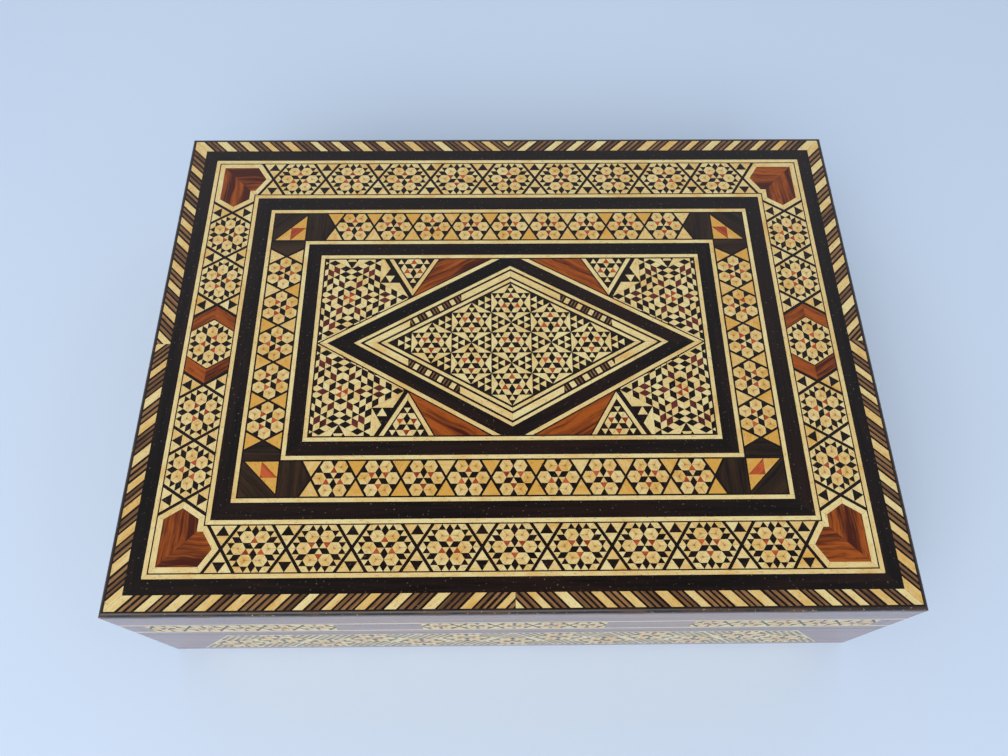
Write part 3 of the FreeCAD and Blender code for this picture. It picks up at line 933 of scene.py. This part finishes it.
def cut_star(slab: Slab, pattern: Pattern, turned: bool, matrix: Matrix) -> BMesh:
    """Cut a star pattern in place.

    Args:
        slab: the slab whose tile it becomes.
        pattern: the pattern to cut.
        turned: whether it is turned by a sixth.
        matrix: where its lattice lies.

    Returns:
        The tile's mesh.
    """
    bm = slab.new_tile()
    layer, shared = bm.faces.layers.int["kind"], bm.faces.layers.int["group"]
    grime = bm.loops.layers.float["grime"]
    bmesh.ops.create_circle(bm, cap_ends=True, cap_tris=True, segments=6, radius=pattern.rows)
    bmesh.ops.subdivide_edges(bm, edges=bm.edges[:], cuts=pattern.rows - 1, use_grid_fill=True)
    groups = defaultdict(list)
    for face in bm.faces:
        groups[pattern.find(face.calc_center_median(), turned)].append(face)
    bmesh.ops.delete(bm, geom=groups.pop(None, []), context="FACES")
    for (number, sector, mirrored), faces in groups.items():
        piece = pattern.pieces[number]
        if len(faces) > 1 and len(piece.cells.split()) <= 2:
            faces = bmesh.ops.dissolve_faces(bm, faces=faces, use_verts=False)["region"]
        for face in faces:
            face[layer] = piece.kind.value
            if piece.shaded:
                border = (sector + mirrored) % 6
                face[shared] = border + 1
                middle = Matrix.Rotation(border * SIXTH, 3, "Z") @ Vector((0, 2, 0))
                for corner in face.loops:
                    corner[grime] = float((corner.vert.co - middle).length < 0.01)
    for border in range(6):
        spin = Matrix.Rotation(border * SIXTH, 3, "Z")
        for wedge in pattern.wedges:
            face = bm.faces.new([bm.verts.new(spin @ Vector((-b, a, 0))) for a, b in wedge.corners])
            face[layer] = wedge.kind.value
    bmesh.ops.transform(bm, matrix=matrix, verts=bm.verts[:])
    bm.normal_update()
    return bm


def lay_stripes(
    slab: Slab, outline: Outline, origin: Vector, across: Vector, stripes: list[tuple[float, Inlay]]
) -> None:
    """Lay an outline cut into stripes.

    Args:
        slab: the slab that takes them.
        outline: the outline to fill.
        origin: the point that the stripes are measured from.
        across: the direction across the stripes.
        stripes: where each stripe starts, and its wood.
    """
    bm = slab.new_tile()
    fill_outline(bm, outline, Inlay.EBONY)
    for start, _ in stripes[1:]:
        slice_bmesh(bm, origin + across * start, across)
    layer = bm.faces.layers.int["kind"]
    bm.normal_update()
    for face in bm.faces:
        offset = (face.calc_center_median() - origin).dot(across) + STRIPE_REACH
        face[layer] = [kind for start, kind in stripes if start <= offset][-1].value
    slab.add(bm, outline)


@dataclass
class Marquetry:
    """One node of the marquetry: where it rides, and its finish in the record."""

    node: str
    slot: str
    body: str = "lid"
    stain: float = 0.1
    spread: float = 0.4
    run: Run = Run.LONGEST
    facings: tuple[Vector, ...] = (UP,)

    def build(self) -> bpy.types.Object:
        """Lay every outline of the node and finish the slab."""
        slab = Slab(self.node, self.stain, self.spread, self.run)
        for outline in outermost(outlines(self.node, *self.facings)):
            self.lay(slab, outline)
        return slab.finish(self.body, self.slot)

    def lay(self, slab: Slab, outline: Outline) -> None:
        """Fill one outline."""
        raise NotImplementedError


@dataclass
class PlainStrips(Marquetry):
    """Strips and tiles that are one piece each."""

    kind: Inlay = Inlay.BONE

    def lay(self, slab: Slab, outline: Outline) -> None:
        """Lay one piece."""
        lay_plain(slab, outline, self.kind)


@dataclass
class StarTiles(Marquetry):
    """Six-sided star tiles, with the lattice's borders at the tile's corners."""

    pattern: Pattern = OUTER_STAR

    def turned(self, slab: Slab) -> bool:
        """Whether the next star is turned by a sixth, which is left to chance."""
        return slab.rng.random() < 0.5

    def matrix(self, outline: Outline) -> Matrix:
        """Where the lattice lies in a tile."""
        centre = outline.centre
        steps = [(corner - centre) / self.pattern.rows for corner in outline.corners]
        return laid_lattice(centre, steps[0], steps[1], outline.normal)

    def lay(self, slab: Slab, outline: Outline) -> None:
        """Lay one star."""
        slab.add(cut_star(slab, self.pattern, self.turned(slab), self.matrix(outline)), outline)


@dataclass
class PointedStarTiles(StarTiles):
    """Six-sided star tiles whose star points reach the tile's corners."""

    points: float = 2.0

    def matrix(self, outline: Outline) -> Matrix:
        """Where the lattice lies in a tile, with its borders at the middles of the tile's edges."""
        centre, corners = outline.centre, outline.corners
        middles = [(corners[i] + corners[i + 1]) / 2 - centre for i in (0, 1)]
        steps = [middle / (1.5 * self.points) for middle in middles]
        return laid_lattice(centre, steps[0], steps[1], outline.normal)


@dataclass
class TriangleStars(StarTiles):
    """Triangles that hold a star with three of its points in the triangle's corners."""

    points: float = 2.0

    def matrix(self, outline: Outline) -> Matrix:
        """Where the lattice lies in a triangle."""
        centre = outline.centre
        tips = [(corner - centre) / self.points for corner in outline.corners]
        first = (tips[0] - tips[1]) / 3
        return laid_lattice(centre, first, tips[0] - first, outline.normal)

    def turned(self, slab: Slab) -> bool:
        """No star is turned, so that its points are in the triangle's corners."""
        return False


@dataclass
class CornerStars(Marquetry):
    """Big stars that the panel's corners show a part of."""

    centre: tuple[float, float] = (62.9 * MM, 20.2 * MM)
    step: float = 2.66 * MM

    def lay(self, slab: Slab, outline: Outline) -> None:
        """Lay the dark ground and one star, trimmed to the outline."""
        lay_plain(slab, outline.lowered(), Inlay.EBONY)
        place = outline.centre
        x, y = (math.copysign(c, side) for c, side in zip(self.centre, place))
        first = Vector((0, self.step, 0))
        second = Matrix.Rotation(SIXTH, 3, "Z") @ first
        matrix = laid_lattice(Vector((x, y, place.z)), first, second, UP)
        bm = cut_star(slab, CORNER_STAR, place.y > 0, matrix)
        for start, end in outline.edges():
            outward = (end - start).cross(outline.normal).normalized()
            slice_bmesh(bm, start, outward, trim=True)
        bm.normal_update()
        slab.add(bm, outline)


@dataclass
class SplitTriangles(Marquetry):
    """Triangles cut into rows of small ones, those that point the other way from another wood."""

    upright: Inlay = Inlay.BONE
    inverted: Inlay = Inlay.EBONY
    rows: int = 2

    def lay(self, slab: Slab, outline: Outline) -> None:
        """Lay one triangle."""
        bm = slab.new_tile()
        layer = bm.faces.layers.int["kind"]
        fill_outline(bm, outline, self.upright)
        bmesh.ops.subdivide_edges(bm, edges=bm.edges[:], cuts=self.rows - 1, use_grid_fill=True)
        bm.normal_update()
        tip = (outline.corners[0] - outline.centre) / self.rows
        for face in bm.faces:
            middle = face.calc_center_median()
            matches = min((vert.co - middle - tip).length for vert in face.verts) < 0.2 * tip.length
            face[layer] = (self.upright if matches else self.inverted).value
        slab.add(bm, outline)


@dataclass
class RopeStrips(Marquetry):
    """Slanted stripes that run with the corner's mitre and meet at the middle of each side."""

    bone_width: float = 2.6 * MM
    dark_width: float = 0.7 * MM
    brown_width: float = 1.0 * MM
    play: float = 0.18

    def lay(self, slab: Slab, outline: Outline) -> None:
        """Lay one half side."""
        start, end = max(outline.edges(), key=self._slant)
        across = outline.normal.cross(end - start).normalized()
        if across.dot(outline.centre - start) < 0:
            across = -across
        reach = max((corner - start).dot(across) for corner in outline.corners)
        lay_stripes(slab, outline, start, across, self._stripes(slab.rng, reach))

    @staticmethod
    def _slant(edge: tuple[Vector, Vector]) -> float:
        """How far an edge is from being square to the box. The corner's mitre is farthest."""
        run = edge[1] - edge[0]
        return min(abs(run.x), abs(run.y))

    def _stripes(self, rng: random.Random, reach: float) -> list[tuple[float, Inlay]]:
        """Where each stripe starts, and its wood, from the mitre to the middle of the side."""
        dark, brown = (Inlay.EBONY, self.dark_width), (Inlay.BROWN, self.brown_width)
        found, place = [], 0.0
        while place < reach:
            period = ((Inlay.BONE, self.bone_width), dark) + (brown, dark) * rng.choice((2, 2, 3))
            for kind, width in period:
                found.append((place, kind))
                place += width * rng.uniform(1 - self.play, 1 + self.play)
        return [stripe for stripe in found if stripe[0] < reach]


@dataclass
class CheckerBlocks(Marquetry):
    """Stretches of bone squares parted by dark and brown stripes."""

    bone_width: float = 2.0 * MM
    dark_width: float = 0.75 * MM
    brown_width: float = 0.6 * MM
    play: float = 0.15

    def lay(self, slab: Slab, outline: Outline) -> None:
        """Lay one stretch."""
        along = outline.along
        place, end = outline.span(along)
        dark, brown = (Inlay.EBONY, self.dark_width), (Inlay.BROWN, self.brown_width)
        period = (dark, brown, dark, brown, dark, (Inlay.BONE, self.bone_width))
        bounds = []
        while place < end:
            for kind, width in period:
                bounds.append((place, kind))
                place += width * slab.rng.uniform(1 - self.play, 1 + self.play)
        lay_stripes(slab, outline, Vector(), along, bounds)


@dataclass
class SideStarBands(Marquetry):
    """Stretches of star banding on the upright sides of the lid."""

    count: int = 5
    gap: float = 0.9 * MM
    margin: float = 0.45 * MM

    def lay(self, slab: Slab, outline: Outline) -> None:
        """Lay one stretch: stars, the triangles between them and the dark ground."""
        normal, centre = outline.normal, outline.centre
        along = UP.cross(normal)
        start, end = outline.span(along)
        bottom, top = outline.span(UP)
        pitch = (end - start) / (self.count + 0.5)
        radius, half = (pitch - self.gap) / 2, (top - bottom) / 2 - self.margin
        reach = pitch * self.count / 2
        ground = [(-math.inf, Inlay.VENEER), (-reach, Inlay.EBONY), (reach, Inlay.VENEER)]
        lay_stripes(slab, outline.lowered(), centre, along, ground)
        for number in range(self.count):
            place = centre + along * (number - (self.count - 1) / 2) * pitch
            first, second = along * radius / 3, (along * radius / 2 + UP * half) / 3
            matrix = laid_lattice(place, first, second, normal)
            bm = cut_star(slab, INNER_STAR, slab.rng.random() < 0.5, matrix)
            box = ((-1, -1), (1, -1), (1, 1), (-1, 1))
            slab.add(bm, Outline([place + along * radius * s + UP * half * t for s, t in box], normal))
        foot, point = (radius - self.gap) / 2, half * self.gap / radius
        for number in range(self.count + 1):
            place = centre + along * (number - self.count / 2) * pitch
            left, right = foot * (number > 0), foot * (number < self.count)
            for edge in (-1, 1):
                corners = ((-left, half), (right, half), (0, point))
                gap = Outline([place + along * s + UP * t * edge for s, t in corners], normal)
                lay_plain(slab, gap, Inlay.BONE)


@dataclass
class VelvetPads:
    """Velvet-covered lining panels that stand for the plain solids of one node."""

    node: str
    body: str
    facings: tuple[Vector, ...]
    thickness: float
    room: Vector = field(default_factory=lambda: Vector((0, 0, 37 * MM)))
    crown: float = 0.35 * MM
    roll: float = 0.5 * MM
    mesh_step: float = 2.2 * MM

    def build(self) -> bpy.types.Object:
        """Make the panels as one softly crowned piece."""
        bm = bmesh.new()
        for outline in outlines(self.node, *self.facings):
            if (outline.centre - self.room).dot(outline.normal) < 0:
                self._panel(bm, outline)
        piece = make_object(bm, f"{self.node}_velvet", PALETTE[VELVET])
        piece.data.polygons.foreach_set("use_smooth", [True] * len(piece.data.polygons))
        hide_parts(self.node)
        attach(piece, self.body)
        log.info("%s: velvet panels", piece.name)
        return piece

    def _panel(self, bm: BMesh, outline: Outline) -> None:
        """Add one panel: a grid that rolls down at its edges, closed at the back."""
        normal, along = outline.normal, outline.along
        across = normal.cross(along)
        (low_s, high_s), (low_t, high_t) = outline.span(along), outline.span(across)
        half_s, half_t = (high_s - low_s) / 2, (high_t - low_t) / 2
        level = outline.corners[0].dot(normal)
        centre = along * (low_s + half_s) + across * (low_t + half_t) + normal * level
        counts = [max(4, round(2 * half / self.mesh_step)) for half in (half_s, half_t)]
        made = bmesh.ops.create_grid(bm, x_segments=counts[0], y_segments=counts[1], size=1.0)["verts"]
        for vert in made:
            s, t = vert.co.x, vert.co.y
            inset = min((1 - abs(s)) * half_s, (1 - abs(t)) * half_t)
            rolled = math.sqrt(max(0.0, 1 - max(0.0, 1 - inset / self.roll) ** 2))
            height = self.crown * (1 - s**4) * (1 - t**4) - self.roll * 0.8 * (1 - rolled)
            vert.co = centre + along * s * half_s + across * t * half_t + normal * height
        faces = {face for vert in made for face in vert.link_faces}
        rim = [edge for edge in {e for f in faces for e in f.edges} if len(edge.link_faces) == 1]
        back = bmesh.ops.extrude_edge_only(bm, edges=rim)["geom"]
        back_verts = [part for part in back if isinstance(part, bmesh.types.BMVert)]
        for vert in back_verts:
            vert.co += normal * (level - self.thickness - vert.co.dot(normal))
        back_edges = [part for part in back if isinstance(part, bmesh.types.BMEdge)]
        far = [edge for edge in back_edges if all(vert in back_verts for vert in edge.verts)]
        bmesh.ops.edgeloop_fill(bm, edges=far)
        bmesh.ops.recalc_face_normals(bm, faces=bm.faces[:])


@dataclass
class HingeScrews:
    """Small slotted screws that hold one set of hinge leaves."""

    node: str
    body: str
    facing: Vector
    spacing: float = 10.0 * MM
    inset: float = 3.6 * MM
    narrowest_leaf: float = 5.0 * MM
    head_radius: float = 1.5 * MM
    head_taper: float = 0.93
    rise: float = 0.08 * MM
    slot_half: float = 0.22 * MM
    slot_depth: float = 0.3 * MM
    count: int = 3

    def build(self) -> bpy.types.Object:
        """Set the screws along the middle of each leaf."""
        bm = bmesh.new()
        for leaf in outlines(self.node, self.facing):
            (low_x, high_x), (low_y, high_y) = leaf.span(SIDES[1]), leaf.span(SIDES[2])
            if high_y - low_y > self.narrowest_leaf:
                for number in range(self.count):
                    offset = (number - (self.count - 1) / 2) * self.spacing
                    place = Vector(((low_x + high_x) / 2 + offset, low_y + self.inset, leaf.centre.z))
                    self._screw(bm, place, number + len(bm.verts))
        piece = make_object(bm, f"{self.node}_screws", PALETTE[BRASS])
        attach(piece, self.body)
        log.info("%s: slotted screws", piece.name)
        return piece

    def _screw(self, bm: BMesh, place: Vector, seed: int) -> None:
        """Add one screw head, its slot turned at random."""
        head = bmesh.new()
        bmesh.ops.create_cone(
            head,
            cap_ends=True,
            segments=20,
            radius1=self.head_radius,
            radius2=self.head_radius * self.head_taper,
            depth=2 * self.rise,
        )
        for side in (-1, 1):
            slice_bmesh(head, Vector((0, side * self.slot_half, 0)), Vector((0, 1, 0)))
        top = [face for face in head.faces if face.normal.z > 0.9]
        slot = [face for face in top if abs(face.calc_center_median().y) < self.slot_half]
        sunk = bmesh.ops.extrude_face_region(head, geom=slot)["geom"]
        bmesh.ops.delete(head, geom=slot, context="FACES_ONLY")
        sunk_verts = [part for part in sunk if isinstance(part, bmesh.types.BMVert)]
        bmesh.ops.translate(head, verts=sunk_verts, vec=Vector((0, 0, -self.slot_depth)))
        turn = Matrix.Rotation(random.Random(seed).uniform(0, math.pi), 4, "Z")
        flip = Vector((0, 0, 1)).rotation_difference(self.facing).to_matrix().to_4x4()
        matrix = Matrix.Translation(place) @ flip @ turn
        bmesh.ops.transform(head, matrix=matrix, verts=head.verts[:])
        join(bm, head)


@dataclass
class KeptSolids:
    """CAD nodes whose shape is right and which take a finish as they are."""

    finish: Finish
    nodes: tuple[str, ...]

    def dress(self) -> None:
        """Give each node the finish."""
        for node in self.nodes:
            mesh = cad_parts[node].data
            mesh.materials.clear()
            mesh.materials.append(PALETTE[self.finish])
            log.info("%s: %s", node, self.finish.name)


@dataclass
class Studio:
    """Floor, soft light and the camera at the photograph's viewing angle."""

    lens: float = 28.997
    camera_place: tuple[float, float, float] = (-6.47 * MM, -146.81 * MM, 346.74 * MM)
    camera_turn: tuple[float, float, float] = (25.8665, -0.4548, -0.5767)
    sensor_width: float = 36.0
    floor_radius: float = 6.0
    key_power: float = 22.0
    key_size: tuple[float, float] = (1.6, 1.2)
    key_place: tuple[float, float, float] = (-0.35, -1.0, 1.25)
    key_aim: tuple[float, float, float] = (0, 0, 0.05)
    sky: Colour = tint(214, 226, 240)
    sky_strength: float = 0.95
    overhead: float = 0.06
    overhead_rise: tuple[float, float] = (0.72, 0.95)

    def build(self) -> None:
        """Set up the whole studio."""
        self._floor()
        self._light()
        self._world()
        self._camera()
        bpy.context.scene.view_settings.view_transform = "Standard"

    def _floor(self) -> None:
        """A wide pale floor at the box's underside."""
        bm = bmesh.new()
        bmesh.ops.create_circle(bm, cap_ends=True, segments=96, radius=self.floor_radius)
        make_object(bm, "floor", PALETTE[FLOOR])

    def _light(self) -> None:
        """One large soft lamp in front, above the viewer."""
        lamp = bpy.data.lights.new("key", "AREA")
        lamp.shape = "RECTANGLE"
        lamp.size, lamp.size_y = self.key_size
        lamp.energy = self.key_power
        key = bpy.data.objects.new("key", lamp)
        key.location = self.key_place
        aim = Vector(self.key_aim) - key.location
        key.rotation_euler = aim.to_track_quat("-Z", "Y").to_euler()
        bpy.context.scene.collection.objects.link(key)

    def _world(self) -> None:
        """A pale surround, brighter towards the horizon than overhead."""
        world = bpy.data.worlds.new("studio")
        world.use_nodes = True
        bpy.context.scene.world = world
        nodes, links = world.node_tree.nodes, world.node_tree.links
        place = nodes.new("ShaderNodeTexCoord")
        parts = nodes.new("ShaderNodeSeparateXYZ")
        ramp = nodes.new("ShaderNodeValToRGB")
        links.new(place.outputs["Generated"], parts.inputs[0])
        links.new(parts.outputs[2], ramp.inputs[0])
        links.new(ramp.outputs[0], nodes["Background"].inputs["Color"])
        shades = (self.sky, tuple(c * self.overhead for c in self.sky))
        for element, level, shade in zip(ramp.color_ramp.elements, self.overhead_rise, shades):
            element.position = level
            element.color = (*shade, 1.0)
        nodes["Background"].inputs["Strength"].default_value = self.sky_strength

    def _camera(self) -> None:
        """The photograph's camera."""
        data = bpy.data.cameras.new("camera")
        data.sensor_fit = "HORIZONTAL"
        data.sensor_width = self.sensor_width
        data.lens = self.lens
        data.clip_start = 0.01
        camera = bpy.data.objects.new("camera", data)
        camera.location = self.camera_place
        camera.rotation_euler = [math.radians(angle) for angle in self.camera_turn]
        bpy.context.scene.collection.objects.link(camera)
        bpy.context.scene.camera = camera


BANDS = (
    RopeStrips("rope_banding", "rope_mosaic", stain=0.32, spread=0.9),
    PlainStrips("outer_ebony_band", "ebony", kind=Inlay.EBONY),
    PlainStrips("first_ivory_line", "bone"),
    PlainStrips("second_ivory_line", "bone"),
    PlainStrips("middle_ebony_band", "ebony", kind=Inlay.EBONY),
    PlainStrips("third_ivory_line", "bone"),
    PlainStrips("fourth_ivory_line", "bone"),
    PlainStrips("inner_ebony_band", "ebony", kind=Inlay.EBONY),
    PlainStrips("panel_ivory_frame", "bone"),
)
OUTER_BAND = (
    StarTiles("outer_star_tiles", "star_mosaic", stain=0.2),
    SplitTriangles("outer_gap_triangles", "star_mosaic", stain=0.25, spread=0.9),
    StarTiles("medallion_tiles", "star_mosaic", stain=0.2),
    PlainStrips("medallion_chevrons", "rosewood", kind=Inlay.ROSEWOOD),
    PlainStrips("corner_ivory_borders", "bone"),
    PlainStrips("corner_rosewood_tiles", "rosewood", run=Run.SQUARE, kind=Inlay.ROSEWOOD),
)
INNER_BAND = (
    StarTiles("inner_star_tiles", "star_mosaic", stain=0.3, pattern=INNER_STAR),
    PlainStrips("inner_gap_triangles", "star_mosaic", stain=0.7, spread=0.6),
    PlainStrips("inner_walnut_blocks", "walnut", kind=Inlay.WALNUT),
    SplitTriangles("inner_corner_triangles", "stained_wood", stain=0.9, spread=0.1, inverted=Inlay.RED),
)
PANEL = (
    PlainStrips("diamond_ivory_outline", "bone"),
    PlainStrips("diamond_ebony_band", "ebony", kind=Inlay.EBONY),
    PlainStrips("diamond_ivory_lines", "bone"),
    PlainStrips("diamond_ivory_band", "bone"),
    CheckerBlocks("diamond_checker_blocks", "rope_mosaic"),
    PointedStarTiles("diamond_star_tiles", "star_mosaic", stain=0.1, pattern=DIAMOND_STAR),
    SplitTriangles(
        "diamond_gap_triangles", "star_mosaic", upright=Inlay.EBONY, inverted=Inlay.BONE, rows=3
    ),
    CornerStars("corner_mosaics", "star_mosaic", stain=0.1),
    TriangleStars("triangle_mosaics", "star_mosaic", stain=0.1, pattern=TRIANGLE_STAR),
    PlainStrips("ivory_v_strips", "bone"),
    PlainStrips("rosewood_triangles", "rosewood", kind=Inlay.ROSEWOOD),
)
UPRIGHTS = (
    SideStarBands("lid_side_star_bands", "star_mosaic", facings=SIDES),
    TriangleStars(
        "base_mosaic_triangles", "star_mosaic", "base", facings=SIDES, pattern=BASE_STAR, points=4.0
    ),
)
KEPT = (
    KeptSolids(GROUND, ("outer_band_ground", "inner_band_ground", "panel_ground")),
    KeptSolids(SIDE_BONE, ("lid_side_ivory_lines", "base_zigzag_lattices")),
    KeptSolids(EDGE, ("lid_edge_banding",)),
    KeptSolids(SIDE_WOOD, ("lid_side_veneers", "base_side_veneers")),
    KeptSolids(
        CARCASS,
        (
            *(f"base_{side}_board" for side in ("front", "back", "left", "right", "bottom")),
            "lid_board",
            *(f"lid_{side}_rail" for side in ("front", "back", "left", "right")),
        ),
    ),
    KeptSolids(BRASS, ("hinge_lower_leaves", "hinge_upper_leaves", "hinge_pins")),
)
LININGS = (
    VelvetPads("base_floor_lining", "base", (UP,), 2.0 * MM),
    VelvetPads("base_wall_linings", "base", SIDES, 1.5 * MM),
    VelvetPads("lid_top_lining", "lid", (-UP,), 1.5 * MM),
    VelvetPads("lid_wall_linings", "lid", SIDES, 1.5 * MM),
)
SCREWS = (
    HingeScrews("hinge_lower_leaves", "base", UP),
    HingeScrews("hinge_upper_leaves", "lid", -UP),
)


def main() -> None:
    """Dress the box and set up the studio."""
    logging.basicConfig(level=logging.INFO, format="%(name)s %(message)s")
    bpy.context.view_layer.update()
    for group in (BANDS, OUTER_BAND, INNER_BAND, PANEL, UPRIGHTS, LININGS, SCREWS):
        for part in group:
            part.build()
    for kept in KEPT:
        kept.dress()
    Studio().build()
    bpy.context.view_layer.update()


if __name__ == "__main__":
    main()
